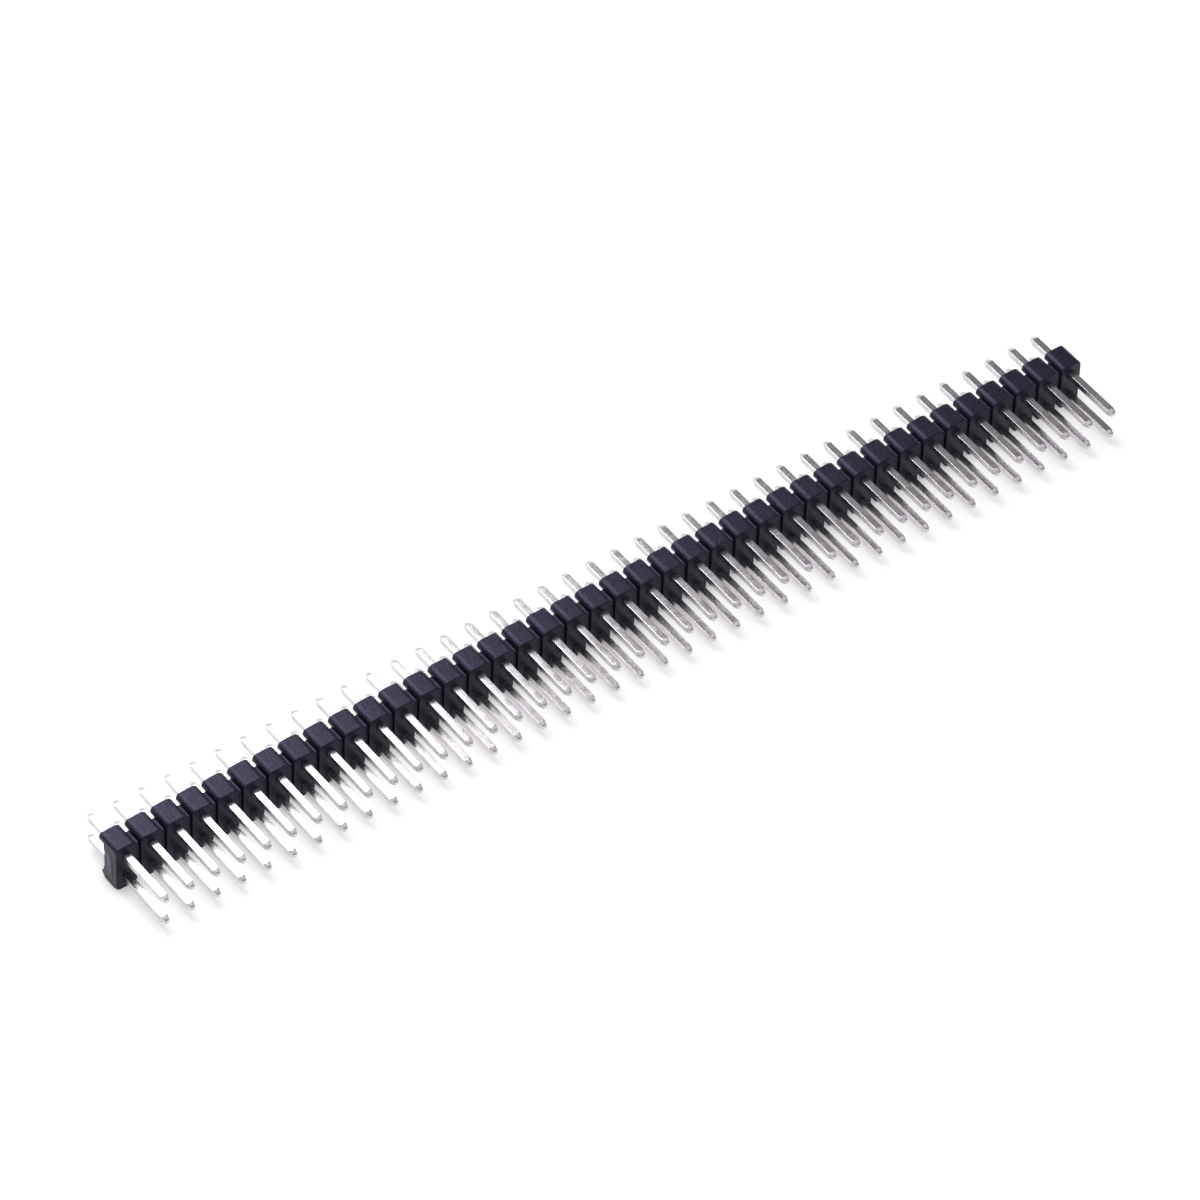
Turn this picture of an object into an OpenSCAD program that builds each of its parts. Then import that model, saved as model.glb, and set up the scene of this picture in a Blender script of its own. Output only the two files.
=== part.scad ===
// Double-row pin header strip: a moulded insulator carrying two rows of square pins.
// Millimetres. X runs along the strip and +Y towards the solder tails.
// The strip lies on one long side at Z = 0, with the pins level.
// The origin is midway along the strip and midway along the pins.

/* [Contact grid] */
// Contacts in each row
columns = 40; // [2:1:40]
// Spacing of the contacts along the strip
pitch = 2.54; // [2.3:0.01:3.0]
// Spacing of the two rows
row_pitch = 2.54; // [2.3:0.01:3.0]

/* [Pins] */
// Side of the square wire
pin_w = 0.64; // [0.5:0.01:0.8]
// Length of a pin on the mating side of the insulator
mating_len = 6.0; // [4:0.1:12]
// Length of a pin on the tail side of the insulator
tail_len = 3.0; // [2:0.1:6]
// Length of the taper at the mating tip
mating_taper_len = 0.5; // [0.2:0.05:1.2]
// Side of the blunt end of the mating tip
mating_tip_w = 0.36; // [0.2:0.01:0.48]
// Length of the taper at the tail tip
tail_taper_len = 0.45; // [0.2:0.05:1.2]
// Side of the blunt end of the tail tip
tail_tip_w = 0.32; // [0.2:0.01:0.48]

/* [Insulator] */
// Thickness of the insulator along the pins
body_t = 2.54; // [2:0.02:4]
// Distance from a row of pins to the long side beside it
side_cover = 1.18; // [1.0:0.01:1.4]
// Gap between the blocks of neighbouring contact pairs
slot_w = 0.4; // [0.2:0.01:0.5]
// Radius of a block's four long corners, each made of three flats
corner_r = 0.5; // [0.2:0.01:0.6]
// Gap between a pin and the wall of its hole, where zero is a push fit
pin_clearance = 0; // [0:0.005:0.05]

/* [Tie between blocks] */
// Height of the tie that joins two blocks, midway between the rows
tie_h = 3.5; // [2.4:0.02:3.5]
// Depth of the groove over the tie on the mating side
groove_depth = 0.3; // [0.1:0.05:0.6]
// Depth of the recess behind the tie on the tail side
recess_depth = 0.6; // [0.3:0.05:0.8]
// Depth of the pocket midway between the rows, from the same face as the recess
pocket_depth = 1.0; // [0.9:0.05:1.3]
// Height of the floor of the pocket
pocket_floor_h = 1.2; // [0.6:0.05:1.6]
// Height of the mouth of the pocket, where it opens into the recess
pocket_mouth_h = 2.1; // [1.7:0.05:2.4]
// Plastic left beside a pin in the recess
pocket_wall = 0.24; // [0.15:0.01:0.4]
// Plastic left between the recess and the long side
recess_lip = 0.68; // [0.6:0.01:0.7]

/* [Hidden] */
function two_digits(i) = str(i < 10 ? "0" : "", i);
function pair_name(i) = str("pin_pair_", two_digits(i));

plastic = "#23253a";
tin = "#c9c8cc";

// A cut runs this far past the face it opens
past = 0.2;
// Sides of the full polygon that a rounded corner is a quarter of
corner_facets = 12;

pin_len = mating_len + body_t + tail_len;
mating_tip_y = -pin_len / 2;
tail_tip_y = pin_len / 2;
mating_face_y = mating_tip_y + mating_len;
tail_face_y = mating_face_y + body_t;

body_h = row_pitch + 2 * side_cover;
mid_z = body_h / 2;
block_w = pitch - slot_w;
strip_len = (columns - 1) * pitch + block_w;
hole_w = pin_w + 2 * pin_clearance;

function column_x(i) = (i - (columns + 1) / 2) * pitch;
function row_z(row) = mid_z + row * row_pitch / 2;

// Outline of a pin, the same from above and from the side
function pin_outline() =
    [
        [-mating_tip_w / 2, mating_tip_y],
        [mating_tip_w / 2, mating_tip_y],
        [pin_w / 2, mating_tip_y + mating_taper_len],
        [pin_w / 2, tail_tip_y - tail_taper_len],
        [tail_tip_w / 2, tail_tip_y],
        [-tail_tip_w / 2, tail_tip_y],
        [-pin_w / 2, tail_tip_y - tail_taper_len],
        [-pin_w / 2, mating_tip_y + mating_taper_len]
    ];

// Square wire, tapered on all four sides at both ends
module pin() {
    intersection() {
        translate([0, 0, -pin_w / 2])
            linear_extrude(pin_w)
                polygon(pin_outline());
        translate([-pin_w / 2, 0, 0])
            rotate([0, 90, 0])
                linear_extrude(pin_w)
                    polygon(pin_outline());
    }
}

module pin_pair(i) {
    color(tin)
        for (row = [-1, 1])
            translate([column_x(i), 0, row_z(row)])
                pin();
}

// End view of one block, standing on Z = 0
module block_outline() {
    flat_w = block_w - 2 * corner_r;
    translate([-block_w / 2, corner_r])
        square([block_w, body_h - 2 * corner_r]);
    translate([-flat_w / 2, 0])
        square([flat_w, body_h]);
    for (x = [-flat_w / 2, flat_w / 2], z = [corner_r, body_h - corner_r])
        translate([x, z])
            circle(corner_r, $fn = corner_facets);
}

// The plastic around one contact pair
module block() {
    translate([0, tail_face_y, 0])
        rotate([90, 0, 0])
            linear_extrude(body_t)
                block_outline();
}

// Square hole through the insulator for one pin
module pin_hole() {
    translate([-hole_w / 2, mating_face_y - past, -hole_w / 2])
        cube([hole_w, body_t + 2 * past, hole_w]);
}

// Side view of the recess behind a tie, with the pocket at its middle, as Y and Z
function recess_outline() =
    let (
        mouth_y = tail_face_y + past,
        recess_y = tail_face_y - recess_depth,
        pocket_y = tail_face_y - pocket_depth
    )
    [
        [mouth_y, recess_lip],
        [mouth_y, body_h - recess_lip],
        [recess_y, body_h - recess_lip],
        [recess_y, mid_z + pocket_mouth_h / 2],
        [pocket_y, mid_z + pocket_floor_h / 2],
        [pocket_y, mid_z - pocket_floor_h / 2],
        [recess_y, mid_z - pocket_mouth_h / 2],
        [recess_y, recess_lip]
    ];

// Space cut between two contact pairs, out of the tie and the sides of both blocks
module recess() {
    recess_x = pin_w / 2 + pocket_wall;
    translate([recess_x, 0, 0])
        rotate([90, 0, 90])
            linear_extrude(pitch - 2 * recess_x)
                polygon(recess_outline());
}

// Bar through all the blocks that holds them in one strip
module tie() {
    translate([-strip_len / 2, mating_face_y + groove_depth, mid_z - tie_h / 2])
        cube([strip_len, body_t - groove_depth - recess_depth, tie_h]);
}

module insulator() {
    color(plastic)
        difference() {
            union() {
                tie();
                for (i = [1:columns])
                    translate([column_x(i), 0, 0])
                        block();
            }
            for (i = [0:columns])
                translate([column_x(i), 0, 0])
                    recess();
            for (i = [1:columns], row = [-1, 1])
                translate([column_x(i), 0, row_z(row)])
                    pin_hole();
        }
}

insulator();
for (i = [1:columns])
    pin_pair(i);
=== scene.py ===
"""The looks of a double-row pin header strip: its moulded insulator and its tinned pins.

Each piece is modelled in millimetres and brought to metres when it is finished.
X runs along the strip, +Y towards the solder tails, and the strip lies on Z = 0.
"""

import math
import random

import bmesh
import bpy
from mathutils import Matrix, Vector


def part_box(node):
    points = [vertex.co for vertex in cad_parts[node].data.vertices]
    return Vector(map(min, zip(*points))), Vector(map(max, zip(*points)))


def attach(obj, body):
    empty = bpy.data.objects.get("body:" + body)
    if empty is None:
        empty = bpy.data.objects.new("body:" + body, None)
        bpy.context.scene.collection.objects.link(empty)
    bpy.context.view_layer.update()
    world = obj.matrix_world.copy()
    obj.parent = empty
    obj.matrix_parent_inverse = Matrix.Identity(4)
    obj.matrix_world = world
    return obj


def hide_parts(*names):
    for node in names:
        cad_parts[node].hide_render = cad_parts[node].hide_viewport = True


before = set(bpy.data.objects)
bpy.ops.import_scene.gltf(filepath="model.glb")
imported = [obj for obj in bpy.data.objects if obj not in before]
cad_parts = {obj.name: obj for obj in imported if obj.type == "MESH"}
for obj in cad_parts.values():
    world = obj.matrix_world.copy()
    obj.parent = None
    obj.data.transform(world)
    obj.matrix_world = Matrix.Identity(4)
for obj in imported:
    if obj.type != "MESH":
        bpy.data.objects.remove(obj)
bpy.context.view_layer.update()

MM = 0.001

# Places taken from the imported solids, in millimetres
PAIR_NODES = sorted(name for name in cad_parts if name.startswith("pin_pair_"))
BODY_LOW, BODY_HIGH = (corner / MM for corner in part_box("insulator"))
PAIR_LOW, PAIR_HIGH = (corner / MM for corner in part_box(PAIR_NODES[0]))
COLUMN_X = [(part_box(name)[0].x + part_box(name)[1].x) / 2 / MM for name in PAIR_NODES]
PITCH = COLUMN_X[1] - COLUMN_X[0]
PIN_W = PAIR_HIGH.x - PAIR_LOW.x
ROW_Z = {"lower": PAIR_LOW.z + PIN_W / 2, "upper": PAIR_HIGH.z - PIN_W / 2}
MATING_TIP_Y, TAIL_TIP_Y = PAIR_LOW.y, PAIR_HIGH.y
FRONT_Y, BACK_Y = BODY_LOW.y, BODY_HIGH.y
BODY_H = BODY_HIGH.z
MID_Z = BODY_H / 2
BLOCK_W = BODY_HIGH.x - BODY_LOW.x - (len(COLUMN_X) - 1) * PITCH

# Smaller forms of the insulator
CORNER_ROUND = 0.51
CORNER_STEPS = 8
TIE_H = 3.50
GROOVE_DEPTH = 0.30
RECESS_DEPTH = 0.60
POCKET_DEPTH = 1.00
POCKET_FLOOR_H = 1.20
POCKET_MOUTH_H = 2.10
POCKET_X = PIN_W / 2 + 0.24
RECESS_LIP = 0.70
HOLE_PLAY = 0.01
MOULD_ROUND = 0.09
MOULD_STEPS = 3
MOULD_SHARP = math.radians(30)

# The left end, where the strip was snapped off a longer one
TORN_Y = (0.75, 1.85)
TORN_Z = (0.95, 3.90)
TORN_RISE = 0.05
TORN_CUTS = 12
TORN_SEED = 9
TORN_LEAST = 0.4
TORN_STRAY_Y = 0.03
TORN_STRAY_Z = 0.08
TORN_FADE = 0.45
TORN_STRETCH = (1.0, 9.0, 0.6)
TORN_STREAKS = (0.38, 0.60)
TORN_COLOUR = (0.26, 0.24, 0.31, 1)
FLASH_LOW_ANGLE = math.radians(56.25)
FLASH_BACK_Y = 2.35
FLASH_Z = (CORNER_ROUND * (1 - math.sin(FLASH_LOW_ANGLE)), 0.60)
FLASH_IN = 0.42
FLASH_NOSE = 0.45
CHIP_FROM = (2.50, 0.72)
CHIP_SLOPE = math.radians(40)
TRIM = 0.004

# Smaller forms of a pin
MATING_TAPER = 0.50
MATING_TIP_W = 0.36
TAIL_TAPER = 0.45
TAIL_TIP_W = 0.32
WIRE_ROUND = 0.035
WIRE_STEPS = 2
WIRE_SHARP = math.radians(10)

# Colours and finishes; their spots and lines are settings of one speckle
PLASTIC_TONES = (0.017, 0.014, 0.029, 1), (0.021, 0.018, 0.037, 1)
PLASTIC_PITS = (0.008, 0.006, 0.013, 1)
PLASTIC_ROUGHNESS = (0.44, 0.33)
PLASTIC_GLOSS = 0.31
PLASTIC_GLOSS_TINT = (0.66, 0.625, 1, 1)
PLASTIC_FLOW = {"Per mm": 0.7, "Low": 0.3, "High": 0.7}
PLASTIC_GRAIN = {"Per mm": 5.0, "Detail": 4.0, "Low": 0.25, "High": 0.75}
TIN_TONES = (0.70, 0.665, 0.70, 1), (0.62, 0.59, 0.62, 1)
TIN_ROUGHNESS = (0.22, 0.30)
TIN_DRAWN = (1.0, 0.06, 1.0)
TIN_LINES = {"Per mm": 4.0, "Low": 0.3, "High": 0.7}
TIN_DULLS = {"Per mm": 1.1, "Detail": 2.0, "Low": 0.35, "High": 0.7}

# A cut runs this far past the face it opens
PAST = 0.2
# Points closer than this are one
STRAY = 0.002
# The corners of a bar are rounded off to this many decimals
DECIMALS = 5
# A face whose normal goes at least this much along an axis faces that way
FACING = 0.9
# Faces that meet at less than FLAT are one face, and at less than SMOOTH are shaded as one
FLAT = math.radians(1)
SMOOTH = math.radians(35)


def start_fresh():
    """Deselects everything, so that the next operator acts on its own piece alone."""
    if bpy.context.mode != "OBJECT":
        bpy.ops.object.mode_set(mode="OBJECT")
    bpy.ops.object.select_all(action="DESELECT")


def make_active(piece):
    """Selects one piece alone."""
    start_fresh()
    piece.select_set(True)
    bpy.context.view_layer.objects.active = piece


def bar(name, low, high):
    """A plain bar between two corners, rounded off so that faces in line meet exactly."""
    start_fresh()
    low, high = Vector(low), Vector(high)
    bpy.ops.mesh.primitive_cube_add(size=1, location=(low + high) / 2)
    piece = bpy.context.object
    piece.name = name
    piece.scale = high - low
    bpy.ops.object.transform_apply(location=True, rotation=True, scale=True)
    for vert in piece.data.vertices:
        vert.co = [round(value, DECIMALS) for value in vert.co]
    return piece


def edit(piece, mode):
    """Opens a piece in edit mode with nothing selected."""
    make_active(piece)
    bpy.ops.object.mode_set(mode="EDIT")
    bpy.ops.mesh.select_mode(type=mode)
    bpy.ops.mesh.select_all(action="DESELECT")


def pick_faces(piece, wanted):
    """Selects the faces of the piece in edit mode that a test on centre and normal accepts."""
    mesh = bmesh.from_edit_mesh(piece.data)
    for face in mesh.faces:
        face.select_set(wanted(face.calc_center_median(), face.normal))
    mesh.select_flush_mode()
    bmesh.update_edit_mesh(piece.data)


def pick_edges(piece, wanted):
    """Selects the edges of the piece in edit mode that a test on both ends accepts."""
    mesh = bmesh.from_edit_mesh(piece.data)
    for edge in mesh.edges:
        edge.select_set(wanted(edge.verts[0].co, edge.verts[1].co))
    bmesh.update_edit_mesh(piece.data)


def slice_off(piece, point, normal, fill=True):
    """Cuts away what lies beyond a plane, on the side that the normal points to."""
    edit(piece, "FACE")
    bpy.ops.mesh.select_all(action="SELECT")
    bpy.ops.mesh.bisect(plane_co=point, plane_no=normal, use_fill=fill, clear_outer=True)
    bpy.ops.object.mode_set(mode="OBJECT")


def carve(piece, tool, operation="DIFFERENCE"):
    """Cuts the tool out of the piece, or adds it on, and puts the tool away."""
    make_active(piece)
    change = piece.modifiers.new("carve", "BOOLEAN")
    change.operation = operation
    change.solver = "EXACT"
    change.object = tool
    bpy.ops.object.modifier_apply(modifier=change.name)
    bpy.data.objects.remove(tool)


def tidy_up(piece):
    """Merges the stray points and joins the flat faces that cutting leaves behind."""
    edit(piece, "VERT")
    bpy.ops.mesh.select_all(action="SELECT")
    bpy.ops.mesh.remove_doubles(threshold=STRAY)
    bpy.ops.mesh.dissolve_limited(angle_limit=FLAT)
    bpy.ops.object.mode_set(mode="OBJECT")


def score_line(piece, x):
    """Marks a line all round the piece at X, where it is cut later."""
    edit(piece, "FACE")
    bpy.ops.mesh.select_all(action="SELECT")
    bpy.ops.mesh.bisect(plane_co=(x, 0, 0), plane_no=(1, 0, 0))
    bpy.ops.object.mode_set(mode="OBJECT")


def round_edges(piece, width, steps, angle):
    """Rounds every edge that is sharper than an angle."""
    make_active(piece)
    rounding = piece.modifiers.new("rounding", "BEVEL")
    rounding.width = width
    rounding.segments = steps
    rounding.limit_method = "ANGLE"
    rounding.angle_limit = angle
    rounding.use_clamp_overlap = False
    bpy.ops.object.modifier_apply(modifier=rounding.name)


def copy_of(piece, name, shift):
    """A copy with its own mesh, moved by a shift."""
    twin = piece.copy()
    twin.data = piece.data.copy()
    twin.name = name
    twin.data.name = name
    twin.data.transform(Matrix.Translation(Vector(shift)))
    bpy.context.scene.collection.objects.link(twin)
    return twin


def finish_piece(piece, name, nodes, material):
    """Brings a piece to metres, smooths it with its flats kept flat, attaches it to the root body
    and hides the solids it stands in for.
    """
    make_active(piece)
    piece.name = name
    piece.data.name = name
    piece.data.transform(Matrix.Scale(MM, 4))
    bpy.ops.object.shade_smooth_by_angle(angle=SMOOTH)
    weighting = piece.modifiers.new("weighting", "WEIGHTED_NORMAL")
    weighting.keep_sharp = True
    bpy.ops.object.modifier_apply(modifier=weighting.name)
    piece.data.materials.clear()
    piece.data.materials.append(material)
    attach(piece, "root")
    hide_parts(*nodes)


# ---------------------------------------------------------------- insulator


def plain_block():
    """One block without its holes, with its four long corners rounded."""
    half = BLOCK_W / 2
    block = bar("block", (-half, FRONT_Y, 0), (half, BACK_Y, BODY_H))
    edit(block, "EDGE")
    pick_edges(block, lambda a, b: abs(a.y - b.y) > STRAY)
    bpy.ops.mesh.bevel(offset=CORNER_ROUND, segments=CORNER_STEPS, affect="EDGES")
    bpy.ops.object.mode_set(mode="OBJECT")
    return block


def recess(near_x, far_x):
    """The space behind a tie: shallow above and below, and deeper midway between the rows."""
    shallow = bar(
        "recess",
        (near_x, BACK_Y - RECESS_DEPTH, RECESS_LIP),
        (far_x, BACK_Y + PAST, BODY_H - RECESS_LIP),
    )
    deep = bar(
        "pocket",
        (near_x, BACK_Y - POCKET_DEPTH, MID_Z - POCKET_MOUTH_H / 2),
        (far_x, BACK_Y, MID_Z + POCKET_MOUTH_H / 2),
    )
    run, rise = POCKET_DEPTH - RECESS_DEPTH, (POCKET_MOUTH_H - POCKET_FLOOR_H) / 2
    for up in (-1, 1):
        slice_off(
            deep,
            (0, BACK_Y - POCKET_DEPTH, MID_Z + up * POCKET_FLOOR_H / 2),
            (0, -rise, up * run),
        )
    carve(shallow, deep, "UNION")
    return shallow


def sharp_cell():
    """One block of the insulator at X = 0, with a little over half a tie on each side."""
    reach = PITCH / 2 + PAST
    block = plain_block()
    tie = bar(
        "tie",
        (-reach, FRONT_Y + GROOVE_DEPTH, MID_Z - TIE_H / 2),
        (reach, BACK_Y - RECESS_DEPTH, MID_Z + TIE_H / 2),
    )
    carve(block, tie, "UNION")
    for side in (-1, 1):
        carve(block, recess(*sorted((side * POCKET_X, side * (reach + PAST)))))
    hole = PIN_W / 2 + HOLE_PLAY
    for row_z in ROW_Z.values():
        carve(
            block,
            bar("hole", (-hole, FRONT_Y - PAST, row_z - hole), (hole, BACK_Y + PAST, row_z + hole)),
        )
    return block


def round_mould_edges(block):
    """Rounds the block's edges, with a line kept where the ties are to be cut."""
    tidy_up(block)
    for side in (-1, 1):
        score_line(block, side * PITCH / 2)
    round_edges(block, MOULD_ROUND, MOULD_STEPS, MOULD_SHARP)


def open_side(block, side):
    """Cuts the tie midway to the next block and leaves it open, ready to join."""
    slice_off(block, (side * PITCH / 2, 0, 0), (side, 0, 0), fill=False)


def torn_stump(wall_x):
    """What is left of a broken tie on the wall of the left block: a slab with ragged ridges."""
    stump = bar(
        "stump",
        (wall_x - TORN_RISE / 2, TORN_Y[0], TORN_Z[0]),
        (wall_x + TORN_RISE, TORN_Y[1], TORN_Z[1]),
    )
    edit(stump, "FACE")
    pick_faces(stump, lambda centre, normal: normal.x < -FACING)
    bpy.ops.mesh.subdivide(number_cuts=TORN_CUTS)
    mesh = bmesh.from_edit_mesh(stump.data)
    chance = random.Random(TORN_SEED)
    ridges = {}
    for vert in [vert for vert in mesh.verts if vert.co.x < wall_x]:
        ridge = ridges.setdefault(round(vert.co.y, 3), chance.uniform(0, 1))
        from_rim = min(
            abs(place - limit)
            for place, limits in ((vert.co.y, TORN_Y), (vert.co.z, TORN_Z))
            for limit in limits
        )
        if from_rim < STRAY:
            vert.co.x = wall_x + STRAY
        else:
            vert.co.x -= TORN_RISE / 2 * ridge * chance.uniform(TORN_LEAST, 1)
        vert.co.y += chance.uniform(-TORN_STRAY_Y, TORN_STRAY_Y)
        vert.co.z += chance.uniform(-TORN_STRAY_Z, TORN_STRAY_Z)
    bmesh.update_edit_mesh(stump.data)
    bpy.ops.object.mode_set(mode="OBJECT")
    return stump


def break_foot(block, wall_x):
    """Flash along the foot of the left end, and a chip off the corner behind it."""
    flash = bar(
        "flash", (wall_x, FRONT_Y, FLASH_Z[0]), (wall_x + FLASH_IN, FLASH_BACK_Y, FLASH_Z[1])
    )
    slice_off(flash, (0, FRONT_Y + FLASH_NOSE, FLASH_Z[0]), (0, -1, -1))
    carve(block, flash, "UNION")
    chip = bar(
        "chip",
        (wall_x - PAST, FRONT_Y, -PAST),
        (-POCKET_X, BACK_Y + PAST, RECESS_LIP),
    )
    slice_off(
        chip,
        (0, CHIP_FROM[0], CHIP_FROM[1]),
        (0, -math.cos(CHIP_SLOPE), math.sin(CHIP_SLOPE)),
    )
    carve(block, chip)


def end_cell(cell, side):
    """A cell for one end of the strip, with the tie trimmed flush on the outer side."""
    last = copy_of(cell, "end_cell", (0, 0, 0))
    trim = TORN_RISE if side < 0 else TRIM
    wall_x = side * (BLOCK_W / 2 - trim)
    near_x, far_x = sorted((wall_x, side * PITCH))
    waste = bar("waste", (near_x, FRONT_Y - PAST, -PAST), (far_x, BACK_Y + PAST, BODY_H + PAST))
    carve(last, waste)
    if side < 0:
        break_foot(last, wall_x)
    round_mould_edges(last)
    if side < 0:
        for vert in last.data.vertices:
            vert.co.z = max(vert.co.z, 0)
        stump = torn_stump(wall_x)
        make_active(last)
        stump.select_set(True)
        bpy.ops.object.join()
    open_side(last, -side)
    return last


def insulator_strip(material):
    """All the blocks in one moulding."""
    cell = sharp_cell()
    first, last = end_cell(cell, -1), end_cell(cell, 1)
    round_mould_edges(cell)
    for side in (-1, 1):
        open_side(cell, side)
    cells = [copy_of(first, "cell", (COLUMN_X[0], 0, 0))]
    cells += [copy_of(cell, "cell", (x, 0, 0)) for x in COLUMN_X[1:-1]]
    cells.append(copy_of(last, "cell", (COLUMN_X[-1], 0, 0)))
    for used in (cell, first, last):
        bpy.data.objects.remove(used)
    start_fresh()
    for one in cells:
        one.select_set(True)
    strip = cells[0]
    bpy.context.view_layer.objects.active = strip
    bpy.ops.object.join()
    edit(strip, "VERT")
    bpy.ops.mesh.select_all(action="SELECT")
    bpy.ops.mesh.remove_doubles(threshold=STRAY)
    bpy.ops.object.mode_set(mode="OBJECT")
    finish_piece(strip, "insulator_moulding", ["insulator"], material)


# --------------------------------------------------------------------- pins


def tapered_end(wire, tip_y, taper, tip_w):
    """Draws one end of the wire out into a blunt four-sided taper."""
    away = math.copysign(1, tip_y)
    edit(wire, "FACE")
    pick_faces(wire, lambda centre, normal: normal.y * away > FACING)
    bpy.ops.mesh.extrude_region_move(TRANSFORM_OT_translate={"value": (0, away * taper, 0)})
    scale = tip_w / PIN_W
    bpy.ops.transform.resize(value=(scale, 1, scale), center_override=(0, tip_y, 0))
    bpy.ops.object.mode_set(mode="OBJECT")


def square_pin():
    """One pin along Y at X = 0, Z = 0, made from a length of square wire."""
    half = PIN_W / 2
    wire = bar(
        "wire",
        (-half, MATING_TIP_Y + MATING_TAPER, -half),
        (half, TAIL_TIP_Y - TAIL_TAPER, half),
    )
    tapered_end(wire, MATING_TIP_Y, MATING_TAPER, MATING_TIP_W)
    tapered_end(wire, TAIL_TIP_Y, TAIL_TAPER, TAIL_TIP_W)
    round_edges(wire, WIRE_ROUND, WIRE_STEPS, WIRE_SHARP)
    return wire


def pins(material):
    """Both rows of pins, each pin a piece of its own."""
    master = square_pin()
    for column, (x, node) in enumerate(zip(COLUMN_X, PAIR_NODES), start=1):
        for row, z in ROW_Z.items():
            pin = copy_of(master, "pin", (x, 0, z))
            finish_piece(pin, f"pin_{column:02d}_{row}", [node], material)
    bpy.data.objects.remove(master)


# ---------------------------------------------------------------- materials


def fill_socket(tree, socket, value):
    """Links another node's output to an input, or sets the input to a plain value."""
    if isinstance(value, bpy.types.NodeSocket):
        tree.links.new(value, socket)
    else:
        socket.default_value = value


def add_node(tree, kind, inputs=None, **fields):
    """Adds a node, sets its fields and fills its inputs."""
    made = tree.nodes.new(kind)
    for field, value in fields.items():
        setattr(made, field, value)
    for name, value in (inputs or {}).items():
        fill_socket(tree, made.inputs[name], value)
    return made


def math_node(tree, operation, first, second):
    """The result of one operation on two values."""
    made = add_node(tree, "ShaderNodeMath", operation=operation)
    fill_socket(tree, made.inputs[0], first)
    fill_socket(tree, made.inputs[1], second)
    return made.outputs[0]


def group_tree(name, inputs, outputs):
    """An empty node group with named inputs and outputs, and its two end nodes."""
    tree = bpy.data.node_groups.new(name, "ShaderNodeTree")
    for label, kind, value in inputs:
        socket = tree.interface.new_socket(label, in_out="INPUT", socket_type=kind)
        if value is not None:
            socket.default_value = value
    for label, kind in outputs:
        tree.interface.new_socket(label, in_out="OUTPUT", socket_type=kind)
    return tree, tree.nodes.new("NodeGroupInput"), tree.nodes.new("NodeGroupOutput")


def speckle_group():
    """Cloudy spots: a mask from 0 to 1, from noise of a given density."""
    tree, given, result = group_tree(
        "speckle",
        [
            ("Vector", "NodeSocketVector", None),
            ("Per mm", "NodeSocketFloat", 1.0),
            ("Detail", "NodeSocketFloat", 2.0),
            ("Low", "NodeSocketFloat", 0.35),
            ("High", "NodeSocketFloat", 0.65),
        ],
        [("Mask", "NodeSocketFloat")],
    )
    noise = add_node(
        tree,
        "ShaderNodeTexNoise",
        {
            "Vector": given.outputs["Vector"],
            "Scale": given.outputs["Per mm"],
            "Detail": given.outputs["Detail"],
        },
    )
    spread = add_node(
        tree,
        "ShaderNodeMapRange",
        {
            "Value": noise.outputs["Fac"],
            "From Min": given.outputs["Low"],
            "From Max": given.outputs["High"],
        },
        interpolation_type="SMOOTHSTEP",
    )
    tree.links.new(spread.outputs["Result"], result.inputs["Mask"])
    return tree


def torn_patch_group():
    """A streaky mask over the torn patch on the left end, from coordinates in millimetres."""
    tree, given, result = group_tree(
        "torn_patch", [("Vector", "NodeSocketVector", None)], [("Mask", "NodeSocketFloat")]
    )
    place = add_node(tree, "ShaderNodeSeparateXYZ", {"Vector": given.outputs["Vector"]})
    wall_x = BODY_LOW.x + TORN_RISE
    limits = (
        ("X", wall_x + TORN_RISE, wall_x),
        ("Y", TORN_Y[0], TORN_Y[0] + TORN_FADE),
        ("Y", TORN_Y[1] + TORN_RISE, TORN_Y[1]),
        ("Z", TORN_Z[0], TORN_Z[0] + 2 * TORN_FADE),
        ("Z", TORN_Z[1] + TORN_RISE, TORN_Z[1]),
    )
    stretched = add_node(
        tree, "ShaderNodeMapping", {"Vector": given.outputs["Vector"], "Scale": TORN_STRETCH}
    )
    streaks = add_node(
        tree, "ShaderNodeTexNoise", {"Vector": stretched.outputs["Vector"], "Scale": 1.0}
    )
    mask = add_node(
        tree,
        "ShaderNodeMapRange",
        {
            "Value": streaks.outputs["Fac"],
            "From Min": TORN_STREAKS[0],
            "From Max": TORN_STREAKS[1],
        },
    ).outputs["Result"]
    for axis, outside, inside in limits:
        limit = add_node(
            tree,
            "ShaderNodeMapRange",
            {"Value": place.outputs[axis], "From Min": outside, "From Max": inside},
        )
        mask = math_node(tree, "MULTIPLY", mask, limit.outputs["Result"])
    tree.links.new(mask, result.inputs["Mask"])
    return tree


def mask_from(tree, group, vector, settings=None):
    """The mask that a node group makes from coordinates and its own settings."""
    made = add_node(
        tree, "ShaderNodeGroup", {"Vector": vector, **(settings or {})}, node_tree=group
    )
    return made.outputs["Mask"]


def mix_colours(tree, mask, first, second):
    """Goes from one colour to another by a mask; the node's colour sockets go by number."""
    mixed = add_node(tree, "ShaderNodeMix", data_type="RGBA")
    for socket, value in ((0, mask), (6, first), (7, second)):
        fill_socket(tree, mixed.inputs[socket], value)
    return mixed.outputs[2]


def spread_value(tree, mask, low, high):
    """Turns a mask from 0 to 1 into a value between two others."""
    spread = add_node(
        tree, "ShaderNodeMapRange", {"Value": mask, "To Min": low, "To Max": high}
    )
    return spread.outputs["Result"]


def blank_material(name):
    """A material with its Principled shader, and its coordinates in millimetres."""
    material = bpy.data.materials.new(name)
    material.use_nodes = True
    tree = material.node_tree
    place = add_node(tree, "ShaderNodeTexCoord")
    scale = add_node(
        tree,
        "ShaderNodeMapping",
        {"Vector": place.outputs["Object"], "Scale": (1 / MM, 1 / MM, 1 / MM)},
    )
    return material, tree, tree.nodes["Principled BSDF"], scale.outputs["Vector"]


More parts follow.
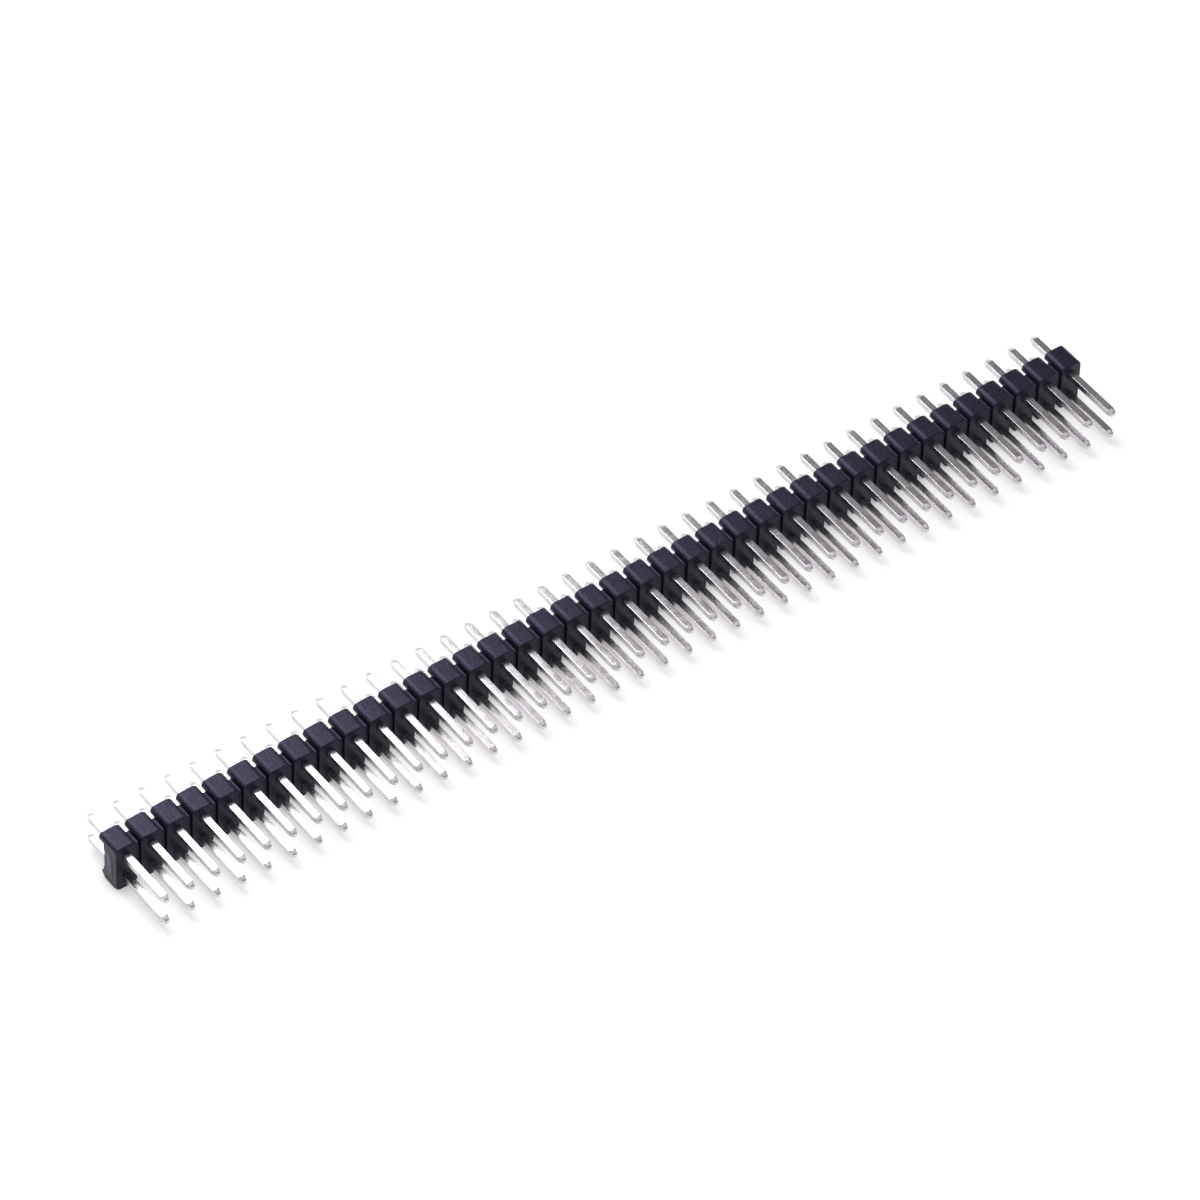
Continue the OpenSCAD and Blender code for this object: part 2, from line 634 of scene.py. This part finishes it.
def raise_bumps(tree, shader, height, strength, depth_mm):
    """Roughens a surface by a mask, to a depth in millimetres."""
    bump = add_node(
        tree,
        "ShaderNodeBump",
        {"Height": height, "Strength": strength, "Distance": depth_mm * MM},
    )
    tree.links.new(bump.outputs["Normal"], shader.inputs["Normal"])


SPECKLE = speckle_group()
TORN_PATCH = torn_patch_group()


def black_plastic():
    """Glass-filled moulding compound: a dark navy with a fine mottled grain."""
    material, tree, shader, vector = blank_material("moulded_plastic")
    flow = mask_from(tree, SPECKLE, vector, PLASTIC_FLOW)
    grain = mask_from(tree, SPECKLE, vector, PLASTIC_GRAIN)
    torn = mask_from(tree, TORN_PATCH, vector)
    base = mix_colours(tree, flow, *PLASTIC_TONES)
    grained = mix_colours(tree, grain, PLASTIC_PITS, base)
    colour = mix_colours(tree, torn, grained, TORN_COLOUR)
    roughness = spread_value(tree, grain, *PLASTIC_ROUGHNESS)
    fill_socket(tree, shader.inputs["Base Color"], colour)
    fill_socket(tree, shader.inputs["Roughness"], roughness)
    fill_socket(tree, shader.inputs["Specular IOR Level"], PLASTIC_GLOSS)
    fill_socket(tree, shader.inputs["Specular Tint"], PLASTIC_GLOSS_TINT)
    raise_bumps(tree, shader, grain, strength=0.8, depth_mm=0.018)
    return material


def tin_plate():
    """Bright tin over drawn wire: fine lengthwise lines and dull speckles."""
    material, tree, shader, vector = blank_material("tin_plate")
    along = add_node(tree, "ShaderNodeMapping", {"Vector": vector, "Scale": TIN_DRAWN})
    lines = mask_from(tree, SPECKLE, along.outputs["Vector"], TIN_LINES)
    dull = mask_from(tree, SPECKLE, vector, TIN_DULLS)
    fill_socket(tree, shader.inputs["Base Color"], mix_colours(tree, dull, *TIN_TONES))
    fill_socket(tree, shader.inputs["Metallic"], 1)
    fill_socket(tree, shader.inputs["Roughness"], spread_value(tree, dull, *TIN_ROUGHNESS))
    raise_bumps(tree, shader, lines, strength=0.04, depth_mm=0.008)
    return material


insulator_strip(black_plastic())
pins(tin_plate())

# ---------------------------------------------------------------- the stage


def seen_directly(tree):
    """1 for rays from the camera, reflections and clear materials, and 0 for the rest."""
    path = add_node(tree, "ShaderNodeLightPath")
    seen = path.outputs["Is Camera Ray"]
    for kind in ("Is Glossy Ray", "Is Transmission Ray"):
        seen = math_node(tree, "MAXIMUM", seen, path.outputs[kind])
    return seen


FLOOR_SIZE = 4
FLOOR_GLOW = 0.80
FLOOR_PAINT = 0.35
FLOOR_GAP = 0.01
# Painted contact shade: within this reach of the strip, the floor's glow is darkened towards this
# tone
PAINTED_SHADE_REACH = 1.4
PAINTED_SHADE_TONE = 0.30
PAINTED_SHADE_SAMPLES = 16
WORLD_FILL = 0.20


def white_floor():
    """White to the camera and in reflections, with a real soft shadow on its paint and a painted
    shade that darkens its glow near the strip, and clear from below.
    """
    start_fresh()
    bpy.ops.mesh.primitive_plane_add(size=FLOOR_SIZE, location=(0, 0, -FLOOR_GAP * MM))
    floor = bpy.context.object
    floor.name = "floor"
    material = bpy.data.materials.new("white_floor")
    material.use_nodes = True
    tree = material.node_tree
    tree.nodes.clear()
    paint = add_node(
        tree, "ShaderNodeBsdfDiffuse", {"Color": (FLOOR_PAINT, FLOOR_PAINT, FLOOR_PAINT, 1)}
    )
    # Painted shade: occlusion close to the strip darkens the floor's glow
    painted_shade_occlusion = add_node(
        tree,
        "ShaderNodeAmbientOcclusion",
        {"Distance": PAINTED_SHADE_REACH * MM},
        samples=PAINTED_SHADE_SAMPLES,
    )
    glow_with_painted_shade = spread_value(tree, painted_shade_occlusion.outputs["AO"], PAINTED_SHADE_TONE, FLOOR_GLOW)
    shown = math_node(tree, "MULTIPLY", seen_directly(tree), glow_with_painted_shade)
    glow = add_node(tree, "ShaderNodeEmission", {"Strength": shown})
    both = add_node(tree, "ShaderNodeAddShader")
    tree.links.new(paint.outputs[0], both.inputs[0])
    tree.links.new(glow.outputs[0], both.inputs[1])
    side = add_node(tree, "ShaderNodeNewGeometry")
    clear = add_node(tree, "ShaderNodeBsdfTransparent")
    one_sided = add_node(tree, "ShaderNodeMixShader", {"Fac": side.outputs["Backfacing"]})
    tree.links.new(both.outputs[0], one_sided.inputs[1])
    tree.links.new(clear.outputs[0], one_sided.inputs[2])
    add_node(tree, "ShaderNodeOutputMaterial", {"Surface": one_sided.outputs[0]})
    floor.data.materials.append(material)


def white_surroundings():
    """White behind the floor's edge, with a little light from all round."""
    world = bpy.data.worlds.new("surroundings")
    bpy.context.scene.world = world
    world.use_nodes = True
    tree = world.node_tree
    strength = spread_value(tree, seen_directly(tree), WORLD_FILL, 1.0)
    tree.links.new(strength, tree.nodes["Background"].inputs["Strength"])
    tree.nodes["Background"].inputs["Color"].default_value = (1, 1, 1, 1)


CEILING_HEIGHT = 0.25
CEILING_LOW = (-0.6, -0.6)
CEILING_HIGH = (0.9, 0.6)
CEILING_TONE = 0.19
SOFTBOX_LOW = (-0.25, 0.08)
SOFTBOX_HIGH = (0.108, 0.40)
SOFTBOX_TURN = math.radians(-20)
SOFTBOX_GLOW = 5.6
TOP_LIGHT_LOW = (-0.25, -0.06)
TOP_LIGHT_HIGH = (0.25, 0.05)
TOP_LIGHT_GLOW = 0.9
PANEL_GAP = 0.001


def glowing_panel(name, low, high, height, glow, turn=0):
    """A level panel that only reflections see."""
    start_fresh()
    bpy.ops.mesh.primitive_plane_add(
        size=1, location=((low[0] + high[0]) / 2, (low[1] + high[1]) / 2, height)
    )
    panel = bpy.context.object
    panel.name = name
    panel.scale = (high[0] - low[0], high[1] - low[1], 1)
    panel.rotation_euler.z = turn
    material = bpy.data.materials.new(name)
    material.use_nodes = True
    tree = material.node_tree
    tree.nodes.clear()
    light = add_node(tree, "ShaderNodeEmission", {"Strength": glow})
    add_node(tree, "ShaderNodeOutputMaterial", {"Surface": light.outputs[0]})
    panel.data.materials.append(material)
    panel.visible_camera = False
    panel.visible_diffuse = False
    panel.visible_shadow = False


def overhead():
    """A dark ceiling with a softbox in it, as the tops of the pins mirror them."""
    below = CEILING_HEIGHT - PANEL_GAP
    glowing_panel("ceiling", CEILING_LOW, CEILING_HIGH, CEILING_HEIGHT, CEILING_TONE)
    glowing_panel("softbox", SOFTBOX_LOW, SOFTBOX_HIGH, below, SOFTBOX_GLOW, SOFTBOX_TURN)
    glowing_panel("top_light", TOP_LIGHT_LOW, TOP_LIGHT_HIGH, below, TOP_LIGHT_GLOW)


KEY_PLACE = Vector((-0.04, 0.12, 0.24))
KEY_SIZE = 0.16
KEY_POWER = 0.6


def key_lamp():
    """A soft lamp above and behind the strip."""
    lamp = bpy.data.lights.new("key", "AREA")
    lamp.energy = KEY_POWER
    lamp.size = KEY_SIZE
    holder = bpy.data.objects.new("key", lamp)
    bpy.context.scene.collection.objects.link(holder)
    holder.location = KEY_PLACE
    holder.rotation_euler = KEY_PLACE.to_track_quat("Z", "Y").to_euler()
    holder.visible_glossy = False


VIEW_AZIMUTH = math.radians(-37.93)
VIEW_ELEVATION = math.radians(46.30)
VIEW_ROLL = math.radians(2.44)
VIEW_DISTANCE = 663.8 * MM
VIEW_AIM = Vector((-0.057, 2.084, 3.121)) * MM
SENSOR = 36.0
LENS = 234.8


def place_camera():
    """A long lens on the mating side, looking down on the strip."""
    towards = Vector(
        (
            math.sin(VIEW_AZIMUTH) * math.cos(VIEW_ELEVATION),
            -math.cos(VIEW_AZIMUTH) * math.cos(VIEW_ELEVATION),
            math.sin(VIEW_ELEVATION),
        )
    )
    camera = bpy.data.cameras.new("camera")
    camera.lens = LENS
    camera.sensor_width = SENSOR
    holder = bpy.data.objects.new("camera", camera)
    bpy.context.scene.collection.objects.link(holder)
    level = towards.to_track_quat("Z", "Y").to_matrix()
    turned = level @ Matrix.Rotation(VIEW_ROLL, 3, "Z")
    holder.matrix_world = Matrix.Translation(VIEW_AIM + towards * VIEW_DISTANCE) @ turned.to_4x4()
    bpy.context.scene.camera = holder


white_floor()
white_surroundings()
overhead()
key_lamp()
place_camera()
bpy.context.scene.view_settings.view_transform = "Standard"
